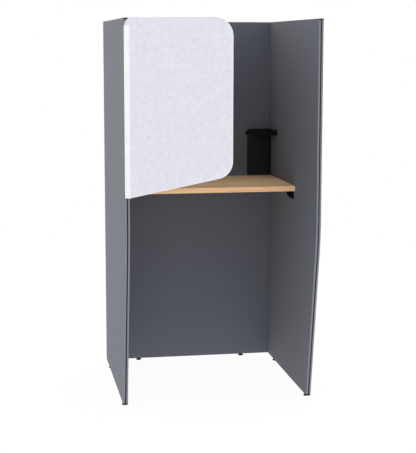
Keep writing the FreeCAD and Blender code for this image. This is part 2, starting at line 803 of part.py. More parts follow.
def feet():
    """Threaded inserts in the panels, and for each foot a pad on a stem with a hexagon."""
    inserts = []
    for name, (x, y) in foot_places().items():
        pad_body = new_body(f"foot_pad_{name}")
        edge = "foot_diameter / 2"
        half = [
            ("0", "0"),
            (f"{edge} - foot_bevel", "0"),
            (edge, "foot_bevel"),
            (edge, "foot_height - 2 * foot_bevel"),
            (f"{edge} - 2 * foot_bevel", "foot_height"),
            ("0", "foot_height"),
        ]
        outline = polygon(pad_body, BACK, half)
        turned = pad_body.newObject("PartDesign::Revolution", "turned")
        turned.Profile = outline
        turned.ReferenceAxis = (outline, ["V_Axis"])
        turned.Angle = 360
        place(pad_body, x, y)

        seat = (x, y, "foot_height")
        hexagon = solid("Prism", seat, Circumradius="foot_hex / sqrt(3)", Height="hex_height")
        stem_length = "floor_gap - foot_height + foot_stem_length"
        stem = cylinder(seat, "+Z", "foot_stem_diameter", stem_length)
        keep(joined(hexagon, stem), f"foot_stem_{name}")

        mouth = (x, y, "floor_gap")
        sleeve = cylinder(mouth, "+Z", "insert_diameter", "insert_length")
        thread = cylinder(mouth, "+Z", "foot_stem_diameter + 2 * foot_running_gap", "insert_length")
        inserts.append(less(sleeve, thread))
    group("foot_inserts", inserts)


def check_document():
    for thing in doc.Objects:
        if {"Invalid", "Error"} & set(thing.State):
            raise RuntimeError(f"{thing.Label} did not recompute: {thing.State}")
        if thing.TypeId == "PartDesign::Pocket":
            removed = thing.BaseFeature.Shape.Volume - thing.Shape.Volume
            if removed <= 0:
                raise RuntimeError(f"a pocket of {thing.getParentGeoFeatureGroup().Label} cuts nothing")
    for thing in subparts:
        if thing.Shape.isNull() or not thing.Shape.isValid() or not thing.Shape.Solids:
            raise RuntimeError(f"{thing.Label} has no valid shape")


for side_name, side_sign in SIDES.items():
    side_panel(side_name, side_sign)
back_panel()
panel_joints()
desk()
desk_fixings()
screen()
for hinge_name, hinge_start in HINGES.items():
    hinge(hinge_name, hinge_start)
screen_rivets()
corner_shelf()
shelf_prop()
shelf_trim()
feet()
doc.recompute()
check_document()

os.makedirs("parts", exist_ok=True)
for subpart in subparts:
    subpart.Shape.exportStep(f"parts/{subpart.Label}.step")
print(len(subparts), "sub-parts written")
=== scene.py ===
import json
import math

import bmesh
import bpy
from mathutils import Matrix, Vector


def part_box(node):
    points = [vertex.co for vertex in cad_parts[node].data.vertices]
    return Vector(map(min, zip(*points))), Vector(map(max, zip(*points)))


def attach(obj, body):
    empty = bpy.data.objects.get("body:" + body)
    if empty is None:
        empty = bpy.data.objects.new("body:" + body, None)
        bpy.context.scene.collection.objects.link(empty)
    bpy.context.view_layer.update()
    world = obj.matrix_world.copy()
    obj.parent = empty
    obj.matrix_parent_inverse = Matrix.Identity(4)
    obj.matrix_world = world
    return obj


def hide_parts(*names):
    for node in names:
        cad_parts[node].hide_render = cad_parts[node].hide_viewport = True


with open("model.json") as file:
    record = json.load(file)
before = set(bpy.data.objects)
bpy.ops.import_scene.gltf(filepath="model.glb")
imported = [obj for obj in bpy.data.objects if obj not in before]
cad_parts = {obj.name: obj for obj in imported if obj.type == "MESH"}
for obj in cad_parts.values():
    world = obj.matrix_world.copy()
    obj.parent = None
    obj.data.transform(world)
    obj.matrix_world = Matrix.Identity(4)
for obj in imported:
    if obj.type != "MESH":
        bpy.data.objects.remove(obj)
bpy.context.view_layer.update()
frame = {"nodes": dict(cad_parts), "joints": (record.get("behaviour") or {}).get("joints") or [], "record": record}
mm = 0.001
nodes = frame["nodes"]
bodyOfNode = {node: body for body, names in frame["record"]["behaviour"]["bodies"].items() for node in names}
slotOfNode = {row["node"]: row["material_slot"] for row in frame["record"]["subparts"]}
print("frame loaded:", len(nodes), "nodes")


# camera fitted to the straight edges of the panels and the desk
photoCamera = {
    "place": (-1.0134, -5.8023, 1.6883),
    "turnRight": 10.017,
    "tiltDown": 7.781,
    "roll": 0.054,
    "imageHeight": 453,
    "focalPixels": 1204.1,
    "axisPixelY": 208.0,  # the picture was cropped below its optical axis
    "sensor": 36.0,
}


def makeCamera():
    data = bpy.data.cameras.new("photoCamera")
    longSide = photoCamera["imageHeight"]
    data.sensor_width = photoCamera["sensor"]
    data.lens = photoCamera["focalPixels"] * photoCamera["sensor"] / longSide
    data.shift_y = (photoCamera["axisPixelY"] - longSide / 2) / longSide
    camera = bpy.data.objects.new("photoCamera", data)
    camera.location = photoCamera["place"]
    turns = (90 - photoCamera["tiltDown"], -photoCamera["roll"], -photoCamera["turnRight"])
    camera.rotation_euler = [math.radians(turn) for turn in turns]
    bpy.context.scene.collection.objects.link(camera)
    bpy.context.scene.camera = camera


makeCamera()
bpy.context.scene.view_settings.view_transform = "Standard"
print("camera ready")


def hexColour(text):
    def linear(value):
        return value / 12.92 if value <= 0.04045 else ((value + 0.055) / 1.055) ** 2.4

    channels = [int(text[start:start + 2], 16) / 255 for start in (1, 3, 5)]
    return (*[linear(value) for value in channels], 1.0)


def addNode(tree, kind, inputs=None, stops=(), **settings):
    # an input is a plain value, a socket, or a node whose first live output is linked
    node = tree.nodes.new(kind)
    for name, value in settings.items():
        setattr(node, name, value)
    for key, value in (inputs or {}).items():
        if isinstance(value, bpy.types.Node):
            value = next(output for output in value.outputs if output.enabled)
        if isinstance(value, bpy.types.NodeSocket):
            tree.links.new(value, node.inputs[key])
        else:
            node.inputs[key].default_value = value
    for index, (position, colour) in enumerate(stops):
        if index == len(node.color_ramp.elements):
            node.color_ramp.elements.new(1.0)
        node.color_ramp.elements[index].position = position
        node.color_ramp.elements[index].color = hexColour(colour)
    return node


def perMm(*sizes):
    # pattern repeats for each metre, from sizes in millimetres along X, Y and Z
    sizes = sizes * 3 if len(sizes) == 1 else sizes
    return [1 / (size * mm) for size in sizes]


# soft studio: a dome that is brightest round the horizon and behind the object, a soft box overhead
# for the desk top, and a white light table that keeps a faint shadow
studio = {
    "horizonLevel": 1.86,
    "overheadLevel": 0.1,
    "domeFall": (0.15, 0.85),  # sines of the elevations between which the dome dims
    "belowShare": 0.7,  # of the horizon's level, under the table
    "horizonBlend": 0.05,  # sine of the elevation within which that share sets in
    "rearShare": 1.5,
    "sideShare": 0.8,
    "quarter": (0.3, 0.8),  # part of a direction along an axis, from which a side or the rear begins
    "softBoxPower": 27.0,
    "softBoxSide": 1.2,
    "softBoxPlace": (0.25, 0.95, 4.0),  # behind the back panel's top, which shades the rear of the desk
    "floorColour": "#f4f4f2",
    "floorShadowShare": 0.12,
    "floorWhite": 1.07,  # makes up for the share of the table that only catches light
    "floorGlow": 0.8,  # share of the dome's light that the table passes up from below
    "floorRadius": 7.0,
    "floorSteps": 96,
    "floorFade": (2.2, 5.0),
}
white = (1.0, 1.0, 1.0, 1.0)


def raysSeen(tree):
    path = addNode(tree, "ShaderNodeLightPath").outputs
    mirrored = addNode(tree, "ShaderNodeMath", {
        0: path["Is Glossy Ray"], 1: path["Is Transmission Ray"],
    }, operation="MAXIMUM")
    return addNode(tree, "ShaderNodeMath", {0: path["Is Camera Ray"], 1: mirrored}, operation="MAXIMUM")


def makeWorld():
    world = bpy.data.worlds.new("studioDome")
    world.use_nodes = True
    tree = world.node_tree
    tree.nodes.clear()
    way = addNode(tree, "ShaderNodeTexCoord").outputs["Generated"]
    apart = addNode(tree, "ShaderNodeSeparateXYZ", {0: way}).outputs
    sideways = addNode(tree, "ShaderNodeMath", {0: apart["X"]}, operation="ABSOLUTE")
    low, high = studio["domeFall"]
    level = addNode(tree, "ShaderNodeMapRange", {
        "Value": apart["Z"], "From Min": low, "From Max": high,
        "To Min": studio["horizonLevel"], "To Max": studio["overheadLevel"],
    })
    start, end = studio["quarter"]
    blend = studio["horizonBlend"]
    shares = [
        (apart["Z"], -blend, blend, studio["belowShare"], 1.0),
        (apart["Y"], start, end, 1.0, studio["rearShare"]),
        (sideways, start, end, 1.0, studio["sideShare"]),
    ]
    for run, near, far, first, last in shares:
        share = addNode(tree, "ShaderNodeMapRange", {
            "Value": run, "From Min": near, "From Max": far, "To Min": first, "To Max": last,
        }, interpolation_type="SMOOTHSTEP")
        level = addNode(tree, "ShaderNodeMath", {0: level, 1: share}, operation="MULTIPLY")
    dome = addNode(tree, "ShaderNodeBackground", {"Strength": level, "Color": white})
    backdrop = addNode(tree, "ShaderNodeBackground", {"Strength": 1.0, "Color": white})
    mix = addNode(tree, "ShaderNodeMixShader", {0: raysSeen(tree), 1: dome, 2: backdrop})
    addNode(tree, "ShaderNodeOutputWorld", {"Surface": mix})
    bpy.context.scene.world = world


def whiteLightTable():
    material = bpy.data.materials.new("whiteLightTable")
    material.use_nodes = True
    tree = material.node_tree
    tree.nodes.clear()
    seen = raysSeen(tree)
    unseen = addNode(tree, "ShaderNodeMath", {0: 1.0, 1: seen}, operation="SUBTRACT")
    passed = addNode(tree, "ShaderNodeMath", {0: unseen, 1: studio["floorGlow"]}, operation="MULTIPLY")
    board = addNode(tree, "ShaderNodeBsdfDiffuse", {"Color": hexColour(studio["floorColour"])})
    clear = addNode(tree, "ShaderNodeBsdfTransparent")
    table = addNode(tree, "ShaderNodeMixShader", {0: passed, 1: board, 2: clear})
    bright = addNode(tree, "ShaderNodeEmission", {"Color": white, "Strength": studio["floorWhite"]})
    lit = 1 - studio["floorShadowShare"]
    share = addNode(tree, "ShaderNodeMath", {0: seen, 1: lit}, operation="MULTIPLY")
    surface = addNode(tree, "ShaderNodeMixShader", {0: share, 1: table, 2: bright})
    place = addNode(tree, "ShaderNodeTexCoord").outputs["Object"]
    distance = addNode(tree, "ShaderNodeVectorMath", {0: place}, operation="LENGTH")
    near, far = studio["floorFade"]
    fade = addNode(tree, "ShaderNodeMapRange", {
        "Value": distance, "From Min": near, "From Max": far,
    }, interpolation_type="SMOOTHSTEP")
    faded = addNode(tree, "ShaderNodeMixShader", {0: fade, 1: surface, 2: clear})
    addNode(tree, "ShaderNodeOutputMaterial", {"Surface": faded})
    return material


def makeStudio():
    makeWorld()
    shape = bmesh.new()
    bmesh.ops.create_circle(
        shape, cap_ends=True, segments=studio["floorSteps"], radius=studio["floorRadius"])
    mesh = bpy.data.meshes.new("studioFloor")
    shape.to_mesh(mesh)
    shape.free()
    mesh.materials.append(whiteLightTable())
    floor = bpy.data.objects.new("studioFloor", mesh)
    bpy.context.scene.collection.objects.link(floor)
    data = bpy.data.lights.new("overheadSoftBox", "AREA")
    data.energy = studio["softBoxPower"]
    data.size = studio["softBoxSide"]
    softBox = bpy.data.objects.new("overheadSoftBox", data)
    softBox.location = studio["softBoxPlace"]
    bpy.context.scene.collection.objects.link(softBox)


makeStudio()
print("studio ready")


def newMaterial(name):
    material = bpy.data.materials.new(name)
    material.use_nodes = True
    tree = material.node_tree
    tree.nodes.clear()
    return material, tree, addNode(tree, "ShaderNodeTexCoord").outputs


# panel cloth: plain-woven polyester glued over board, matt with a faint nap,
# and along the cut edges a painted highlight: a paler tone where the normal turns from the flat face
panelCloth = {
    "yarn": "#60636d",
    "yarnDark": "#575962",
    "yarnLight": "#6a6c76",
    # painted highlight: the paler tone given to the edge faces, where light catches them
    "paintedEdgeHighlight": "#7d808a",
    "threadMm": 1.4,  # the real thread is about 0.5 mm, drawn coarser so that it shows
    "threadTone": 0.12,  # how far a thread shifts the tone between the yarns
    "slubMm": (9.0, 9.0, 1.2),
    "meltMm": 26.0,
    "roughness": (0.82, 0.94),
    "edgeTurn": (0.55, 0.9),  # part of the normal across the panel, from the edge to the flat face
}


def wovenPanelCloth(name, faceAxis):
    material, tree, place = newMaterial(name)
    apart = addNode(tree, "ShaderNodeSeparateXYZ", {0: place["Object"]}).outputs
    across = addNode(tree, "ShaderNodeMath", {0: apart["X"], 1: apart["Y"]}, operation="ADD")
    turn = 2 * math.pi / (panelCloth["threadMm"] * mm)
    waves = []
    for run in (across, apart["Z"]):
        angle = addNode(tree, "ShaderNodeMath", {0: run, 1: turn}, operation="MULTIPLY")
        waves.append(addNode(tree, "ShaderNodeMath", {0: angle}, operation="SINE"))
    weave = addNode(tree, "ShaderNodeMath", {0: waves[0], 1: waves[1]}, operation="MULTIPLY")
    slubPlace = addNode(tree, "ShaderNodeMapping", {
        "Vector": place["Object"], "Scale": perMm(*panelCloth["slubMm"]),
    })
    slub = addNode(tree, "ShaderNodeTexNoise", {
        "Vector": slubPlace, "Scale": 1.0, "Detail": 4.0, "Roughness": 0.65,
    })
    ripple = addNode(tree, "ShaderNodeMath", {0: weave, 1: panelCloth["threadTone"]}, operation="MULTIPLY")
    tone = addNode(tree, "ShaderNodeMath", {0: slub, 1: ripple}, operation="ADD")
    cloth = addNode(tree, "ShaderNodeValToRGB", {"Fac": tone}, [
        (0.25, panelCloth["yarnDark"]), (0.5, panelCloth["yarn"]), (0.75, panelCloth["yarnLight"]),
    ])
    facing = addNode(tree, "ShaderNodeSeparateXYZ", {0: place["Normal"]}).outputs[faceAxis]
    flat = addNode(tree, "ShaderNodeMath", {0: facing}, operation="ABSOLUTE")
    edgeTurn, faceTurn = panelCloth["edgeTurn"]
    edge = addNode(tree, "ShaderNodeMapRange", {
        "Value": flat, "From Min": edgeTurn, "From Max": faceTurn, "To Min": 1.0, "To Max": 0.0,
    })
    # painted highlight on the edge faces, mixed in by how far the normal turns from the flat face
    colour = addNode(tree, "ShaderNodeMix", {
        "Factor": edge, "A": cloth, "B": hexColour(panelCloth["paintedEdgeHighlight"]),
    }, data_type="RGBA")
    meltPlace = addNode(tree, "ShaderNodeMapping", {
        "Vector": place["Object"], "Scale": perMm(panelCloth["meltMm"]),
    })
    melt = addNode(tree, "ShaderNodeTexNoise", {"Vector": meltPlace, "Scale": 1.0, "Detail": 2.0})
    smooth, dry = panelCloth["roughness"]
    rough = addNode(tree, "ShaderNodeMapRange", {"Value": melt, "To Min": smooth, "To Max": dry})
    height = addNode(tree, "ShaderNodeMath", {0: weave, 1: slub}, operation="ADD")
    bump = addNode(tree, "ShaderNodeBump", {"Height": height, "Strength": 0.25, "Distance": 0.25 * mm})
    shader = addNode(tree, "ShaderNodeBsdfPrincipled", {
        "Base Color": colour, "Roughness": rough, "Normal": bump,
        "Sheen Weight": 0.08, "Sheen Roughness": 0.5, "Specular IOR Level": 0.25,
    })
    addNode(tree, "ShaderNodeOutputMaterial", {"Surface": shader})
    return material


# dyed fibreboard core: dark, dry and speckled where it shows in the groove
coreBoard = {"fibre": "#3a3c44", "fibreDark": "#2c2e35", "speckMm": 1.6}


def dyedFibreboard():
    material, tree, place = newMaterial("dyedFibreboard")
    speckPlace = addNode(tree, "ShaderNodeMapping", {
        "Vector": place["Object"], "Scale": perMm(coreBoard["speckMm"]),
    })
    speck = addNode(tree, "ShaderNodeTexNoise", {"Vector": speckPlace, "Scale": 1.0, "Detail": 5.0})
    colour = addNode(tree, "ShaderNodeValToRGB", {"Fac": speck}, [
        (0.3, coreBoard["fibreDark"]), (0.7, coreBoard["fibre"]),
    ])
    bump = addNode(tree, "ShaderNodeBump", {"Height": speck, "Strength": 0.4, "Distance": 0.4 * mm})
    shader = addNode(tree, "ShaderNodeBsdfPrincipled", {
        "Base Color": colour, "Normal": bump,
        "Roughness": 0.92,
    })
    addNode(tree, "ShaderNodeOutputMaterial", {"Surface": shader})
    return material


def screenTurn():
    # from the shut screen, drawn about the hinge axis, to the angle of rest
    joint = next(row for row in frame["joints"] if row["name"] == "screen_swing")
    openAngle = math.radians(-joint["range_deg"][0])
    axis = Vector(joint["pos_m"])
    axis.z = 0
    return Matrix.Translation(axis) @ Matrix.Rotation(-openAngle, 4, "Z")


# needled polyester felt: pale heather of cool and warm fibres with no gloss, and a painted highlight that whitens
# the cut edge
feltLook = {
    "cool": "#cfd2dd",
    "plain": "#d9dae4",
    "warm": "#dfdde6",
    "pale": "#e7e7ef",
    # painted highlight: the near-white tone given to the felt's cut edge
    "paintedCutEdgeHighlight": "#f4f5f9",
    # size in millimetres, then the detail, roughness and distortion of each layer;
    # fibres are far finer than here, drawn coarser so that they show
    "layers": {
        "blotch": (22.0, 3.0, 0.6, 0.0),
        "tuft": (7.0, 4.0, 0.7, 1.2),
        "fibre": (2.0, 5.0, 0.7, 3.5),
    },
    "tuftShare": 0.7,  # of the hue, the rest comes from the blotches
    "fibreShade": (0.86, 1.12),
    "edgeTurn": (0.6, 0.97),  # part of the normal across the board, from the cut edge to the flat face
}


def heatherFelt():
    material, tree, place = newMaterial("heatherFelt")
    noise = {}
    for layer, (size, detail, roughness, distortion) in feltLook["layers"].items():
        spread = addNode(tree, "ShaderNodeMapping", {"Vector": place["Object"], "Scale": perMm(size)})
        noise[layer] = addNode(tree, "ShaderNodeTexNoise", {
            "Vector": spread, "Scale": 1.0, "Detail": detail,
            "Roughness": roughness, "Distortion": distortion,
        })
    hue = addNode(tree, "ShaderNodeMix", {
        "Factor": feltLook["tuftShare"], "A": noise["blotch"], "B": noise["tuft"],
    })
    heather = addNode(tree, "ShaderNodeValToRGB", {"Fac": hue}, [
        (0.38, feltLook["cool"]), (0.48, feltLook["plain"]),
        (0.55, feltLook["warm"]), (0.64, feltLook["pale"]),
    ])
    dark, light = feltLook["fibreShade"]
    shade = addNode(tree, "ShaderNodeMapRange", {
        "Value": noise["fibre"], "From Min": 0.25, "From Max": 0.75, "To Min": dark, "To Max": light,
    })
    tinted = addNode(tree, "ShaderNodeVectorMath", {0: heather, "Scale": shade}, operation="SCALE")
    faceWay = screenTurn().to_3x3() @ Vector((0, 1, 0))
    facing = addNode(tree, "ShaderNodeVectorMath", {0: place["Normal"], 1: faceWay}, operation="DOT_PRODUCT")
    flat = addNode(tree, "ShaderNodeMath", {0: facing}, operation="ABSOLUTE")
    edgeTurn, faceTurn = feltLook["edgeTurn"]
    edge = addNode(tree, "ShaderNodeMapRange", {
        "Value": flat, "From Min": edgeTurn, "From Max": faceTurn, "To Min": 1.0, "To Max": 0.0,
    })
    # painted highlight on the cut edge, mixed in by how far the normal turns from the board's face
    colour = addNode(tree, "ShaderNodeMix", {
        "Factor": edge, "A": tinted, "B": hexColour(feltLook["paintedCutEdgeHighlight"]),
    }, data_type="RGBA")
    height = addNode(tree, "ShaderNodeMix", {"Factor": 0.5, "A": noise["tuft"], "B": noise["fibre"]})
    bump = addNode(tree, "ShaderNodeBump", {"Height": height, "Strength": 0.35, "Distance": 0.9 * mm})
    shader = addNode(tree, "ShaderNodeBsdfPrincipled", {
        "Base Color": colour, "Normal": bump,
        "Roughness": 0.95, "Sheen Weight": 0.12, "Sheen Roughness": 0.6, "Specular IOR Level": 0.15,
    })
    addNode(tree, "ShaderNodeOutputMaterial", {"Surface": shader})
    return material


# powder coat on aluminium or steel: baked polyester with a fine orange peel
coats = {
    "whitePowderCoat": {"colour": "#eff0f0", "dust": "#e6e7e8", "roughness": 0.42, "specular": 0.5},
    "blackPowderCoat": {"colour": "#0a0a0b", "dust": "#101012", "roughness": 0.55, "specular": 0.32},
    "mattBlackPowderCoat": {"colour": "#050506", "dust": "#0a0a0b", "roughness": 0.75, "specular": 0.08},
}
coatGrain = {
    "peelMm": 1.1,
    "handledMm": 30.0,
    "polish": 0.06,  # takes this much off the roughness
    "wear": 0.08,  # adds this much to it
}


def powderCoat(name):
    look = coats[name]
    material, tree, place = newMaterial(name)
    peelPlace = addNode(tree, "ShaderNodeMapping", {
        "Vector": place["Object"], "Scale": perMm(coatGrain["peelMm"]),
    })
    peel = addNode(tree, "ShaderNodeTexNoise", {"Vector": peelPlace, "Scale": 1.0, "Detail": 2.0})
    handledPlace = addNode(tree, "ShaderNodeMapping", {
        "Vector": place["Object"], "Scale": perMm(coatGrain["handledMm"]),
    })
    handled = addNode(tree, "ShaderNodeTexNoise", {
        "Vector": handledPlace, "Scale": 1.0, "Detail": 4.0, "Roughness": 0.6,
    })
    colour = addNode(tree, "ShaderNodeValToRGB", {"Fac": handled}, [
        (0.35, look["colour"]), (0.8, look["dust"]),
    ])
    rough = addNode(tree, "ShaderNodeMapRange", {
        "Value": handled, "To Min": look["roughness"] - coatGrain["polish"],
        "To Max": look["roughness"] + coatGrain["wear"],
    })
    bump = addNode(tree, "ShaderNodeBump", {"Height": peel, "Strength": 0.18, "Distance": 0.12 * mm})
    shader = addNode(tree, "ShaderNodeBsdfPrincipled", {
        "Base Color": colour, "Roughness": rough, "Normal": bump,
        "Specular IOR Level": look["specular"],
    })
    addNode(tree, "ShaderNodeOutputMaterial", {"Surface": shader})
    return material


# moulded polyamide: spark-eroded mould texture, soft low gloss
polyamide = {
    "colour": "#060607",
    "scuffed": "#101113",
    "grainMm": 0.9,
    "scuffMm": 12.0,
    "roughness": (0.55, 0.75),
}


def mouldedPolyamide():
    material, tree, place = newMaterial("mouldedPolyamide")
    grainPlace = addNode(tree, "ShaderNodeMapping", {
        "Vector": place["Object"], "Scale": perMm(polyamide["grainMm"]),
    })
    grain = addNode(tree, "ShaderNodeTexVoronoi", {"Vector": grainPlace, "Scale": 1.0})
    scuffPlace = addNode(tree, "ShaderNodeMapping", {
        "Vector": place["Object"], "Scale": perMm(polyamide["scuffMm"]),
    })
    scuff = addNode(tree, "ShaderNodeTexNoise", {"Vector": scuffPlace, "Scale": 1.0, "Detail": 5.0})
    colour = addNode(tree, "ShaderNodeValToRGB", {"Fac": scuff}, [
        (0.4, polyamide["colour"]), (0.85, polyamide["scuffed"]),
    ])
    smooth, dry = polyamide["roughness"]
    rough = addNode(tree, "ShaderNodeMapRange", {"Value": scuff, "To Min": smooth, "To Max": dry})
    bump = addNode(tree, "ShaderNodeBump", {"Height": grain, "Strength": 0.3, "Distance": 0.15 * mm})
    shader = addNode(tree, "ShaderNodeBsdfPrincipled", {
        "Base Color": colour, "Roughness": rough, "Normal": bump,
        "Specular IOR Level": 0.14,
    })
    addNode(tree, "ShaderNodeOutputMaterial", {"Surface": shader})
    return material


# zinc-plated steel: bright, faintly clouded, with fine turning or rolling lines
zinc = {
    "dull": "#b3b6ba",
    "bright": "#cfd2d4",
    "cloudMm": 7.0,
    "lineMm": (6.0, 6.0, 0.3),
    "roughness": (0.24, 0.46),
}


def zincPlatedSteel():
    material, tree, place = newMaterial("zincPlatedSteel")
    cloudPlace = addNode(tree, "ShaderNodeMapping", {
        "Vector": place["Object"], "Scale": perMm(zinc["cloudMm"]),
    })
    cloud = addNode(tree, "ShaderNodeTexNoise", {"Vector": cloudPlace, "Scale": 1.0, "Detail": 4.0})
    linePlace = addNode(tree, "ShaderNodeMapping", {
        "Vector": place["Object"], "Scale": perMm(*zinc["lineMm"]),
    })
    lines = addNode(tree, "ShaderNodeTexNoise", {"Vector": linePlace, "Scale": 1.0, "Detail": 2.0})
    colour = addNode(tree, "ShaderNodeValToRGB", {"Fac": cloud}, [(0.3, zinc["dull"]), (0.7, zinc["bright"])])
    smooth, dry = zinc["roughness"]
    rough = addNode(tree, "ShaderNodeMapRange", {"Value": lines, "To Min": smooth, "To Max": dry})
    bump = addNode(tree, "ShaderNodeBump", {"Height": lines, "Strength": 0.15, "Distance": 0.05 * mm})
    shader = addNode(tree, "ShaderNodeBsdfPrincipled", {
        "Base Color": colour, "Roughness": rough, "Normal": bump,
        "Metallic": 1.0,
    })
    addNode(tree, "ShaderNodeOutputMaterial", {"Surface": shader})
    return material


# black oxide on the steel of screws and stems: dark metal with a little oil sheen
blackOxide = {"dark": "#101012", "worn": "#242427", "cloudMm": 2.5, "roughness": (0.3, 0.5)}


def blackOxideSteel():
    material, tree, place = newMaterial("blackOxideSteel")
    cloudPlace = addNode(tree, "ShaderNodeMapping", {
        "Vector": place["Object"], "Scale": perMm(blackOxide["cloudMm"]),
    })
    cloud = addNode(tree, "ShaderNodeTexNoise", {"Vector": cloudPlace, "Scale": 1.0, "Detail": 4.0})
    colour = addNode(tree, "ShaderNodeValToRGB", {"Fac": cloud}, [
        (0.3, blackOxide["dark"]), (0.75, blackOxide["worn"]),
    ])
    smooth, dry = blackOxide["roughness"]
    rough = addNode(tree, "ShaderNodeMapRange", {"Value": cloud, "To Min": smooth, "To Max": dry})
    shader = addNode(tree, "ShaderNodeBsdfPrincipled", {
        "Base Color": colour, "Roughness": rough,
        "Metallic": 0.7,
    })
    addNode(tree, "ShaderNodeOutputMaterial", {"Surface": shader})
    return material


# oak-patterned melamine: printed grain along the desk's length under a satin resin face
oakLooks = {
    "oakMelamineTop": {
        "late": "#e1b381",
        "mid": "#f2c99a",
        "early": "#fad6ab",
        "bounds": (0.34, 0.48, 0.66),
        "coarseMm": (420.0, 26.0, 26.0),
        "fineMm": (160.0, 3.2, 3.2),
    },
    "oakMelamineEdge": {
        "late": "#eea669",
        "mid": "#fbc28a",
        "early": "#fed5a6",
        "bounds": (0.38, 0.46, 0.6),
        "coarseMm": (260.0, 6.0, 4.6),
        "fineMm": (70.0, 1.2, 1.2),
    },
}
oakPores = {
    "colour": "#bb9066",
    "sizeMm": (18.0, 0.9, 0.9),  # real pores are 0.3 mm wide, drawn coarser
    "bounds": (0.62, 0.74),
    "share": 0.45,
}
oakFace = {"fineShare": 0.45, "roughness": (0.36, 0.52)}


def oakMelamine(name):
    look = oakLooks[name]
    material, tree, place = newMaterial(name)
    coarsePlace = addNode(tree, "ShaderNodeMapping", {
        "Vector": place["Object"], "Scale": perMm(*look["coarseMm"]),
    })
    coarse = addNode(tree, "ShaderNodeTexNoise", {
        "Vector": coarsePlace, "Scale": 1.0, "Detail": 3.0, "Distortion": 0.6,
    })
    finePlace = addNode(tree, "ShaderNodeMapping", {
        "Vector": place["Object"], "Scale": perMm(*look["fineMm"]),
    })
    fine = addNode(tree, "ShaderNodeTexNoise", {
        "Vector": finePlace, "Scale": 1.0, "Detail": 5.0, "Roughness": 0.6, "Distortion": 0.3,
    })
    tone = addNode(tree, "ShaderNodeMix", {"Factor": oakFace["fineShare"], "A": coarse, "B": fine})
    woods = (look["late"], look["mid"], look["early"])
    wood = addNode(tree, "ShaderNodeValToRGB", {"Fac": tone}, zip(look["bounds"], woods))
    porePlace = addNode(tree, "ShaderNodeMapping", {
        "Vector": place["Object"], "Scale": perMm(*oakPores["sizeMm"]),
    })
    pores = addNode(tree, "ShaderNodeTexNoise", {"Vector": porePlace, "Scale": 1.0, "Detail": 2.0})
    rare, full = oakPores["bounds"]
    poreShare = addNode(tree, "ShaderNodeMapRange", {
        "Value": pores, "From Min": rare, "From Max": full, "To Min": 0.0, "To Max": oakPores["share"],
    })
    colour = addNode(tree, "ShaderNodeMix", {
        "Factor": poreShare, "A": wood, "B": hexColour(oakPores["colour"]),
    }, data_type="RGBA")
    smooth, dry = oakFace["roughness"]
    rough = addNode(tree, "ShaderNodeMapRange", {"Value": fine, "To Min": smooth, "To Max": dry})
    bump = addNode(tree, "ShaderNodeBump", {
        "Height": poreShare, "Strength": 0.2, "Distance": 0.12 * mm,
    }, invert=True)
    shader = addNode(tree, "ShaderNodeBsdfPrincipled", {
        "Base Color": colour, "Roughness": rough, "Normal": bump,
    })
    addNode(tree, "ShaderNodeOutputMaterial", {"Surface": shader})
    return material


finishes = {
    "panel_cloth": wovenPanelCloth("wovenPanelCloth", "X"),
    "panel_core": dyedFibreboard(),
    "desk_oak": oakMelamine("oakMelamineTop"),
    "desk_edge": oakMelamine("oakMelamineEdge"),
    "screen_felt": heatherFelt(),
    "white_channel": powderCoat("whitePowderCoat"),
    "foot_plastic": mouldedPolyamide(),
    "black_steel": powderCoat("blackPowderCoat"),
    "black_screws": blackOxideSteel(),
    "zinc_steel": zincPlatedSteel(),
}
finishes["black_plastic"] = finishes["foot_plastic"]
backPanelCloth = wovenPanelCloth("wovenBackPanelCloth", "Y")
bracketCoat = powderCoat("mattBlackPowderCoat")
ownFinish = {nodeName: backPanelCloth for nodeName in ("back_inner_skin", "back_outer_skin")}
ownFinish.update({nodeName: bracketCoat for nodeName in nodes if nodeName.startswith("desk_bracket_")})
for nodeName, node in nodes.items():
    node.data.materials.clear()
    node.data.materials.append(ownFinish.get(nodeName, finishes[slotOfNode[nodeName]]))
print("finishes on", len(nodes), "nodes")


def addPiece(name, shape, slot, body, replaced=()):
    bmesh.ops.recalc_face_normals(shape, faces=shape.faces)
    mesh = bpy.data.meshes.new(name)
    shape.to_mesh(mesh)
    shape.free()
    mesh.materials.append(finishes[slot])
    piece = bpy.data.objects.new(name, mesh)
    bpy.context.scene.collection.objects.link(piece)
    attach(piece, body)
    if replaced:
        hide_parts(*replaced)
    return piece


def skinRings(shape, rings, smooth=True):
    # faces between rings of as many points each, closed at both ends
    rings = [[shape.verts.new(point) for point in ring] for ring in rings]
    for first, second in zip(rings, rings[1:]):
        for index in range(len(first)):
            after = (index + 1) % len(first)
            shape.faces.new((first[index], first[after], second[after], second[index])).smooth = smooth
    shape.faces.new(rings[0])
    shape.faces.new(rings[-1])


# felt board of the screen, with the soft edge that a cutting press leaves
feltBoard = {
    "rise": 113.0,
    "freeCorner": 80.0,
    "hingeCorner": 31.0,
    "softEdge": 3.6,
    "flatMargin": 1.8,  # of the soft edge, where the flat face begins
    "edgeSteps": 6,
    "cornerSteps": 14,
    "channelCover": 24.0,  # length of lower edge that stays level in the channel
}


def roundedOutline(corners):
    # corners are (x, z, radius) in order; sharp ones have no radius
    points = []
    count = len(corners)
    for index, (x, z, radius) in enumerate(corners):
        here = Vector((x, z))
        before = (Vector(corners[index - 1][:2]) - here).normalized()
        after = (Vector(corners[(index + 1) % count][:2]) - here).normalized()
        if radius <= 0:
            points.append(here)
            continue
        half = before.angle(after) / 2
        middle = here + (before + after).normalized() * radius / math.sin(half)
        start = here + before * radius / math.tan(half) - middle
        finish = here + after * radius / math.tan(half) - middle
        sweep = start.angle_signed(finish)
        for step in range(feltBoard["cornerSteps"] + 1):
            turn = Matrix.Rotation(-sweep * step / feltBoard["cornerSteps"], 2)
            points.append(middle + turn @ start)
    return points


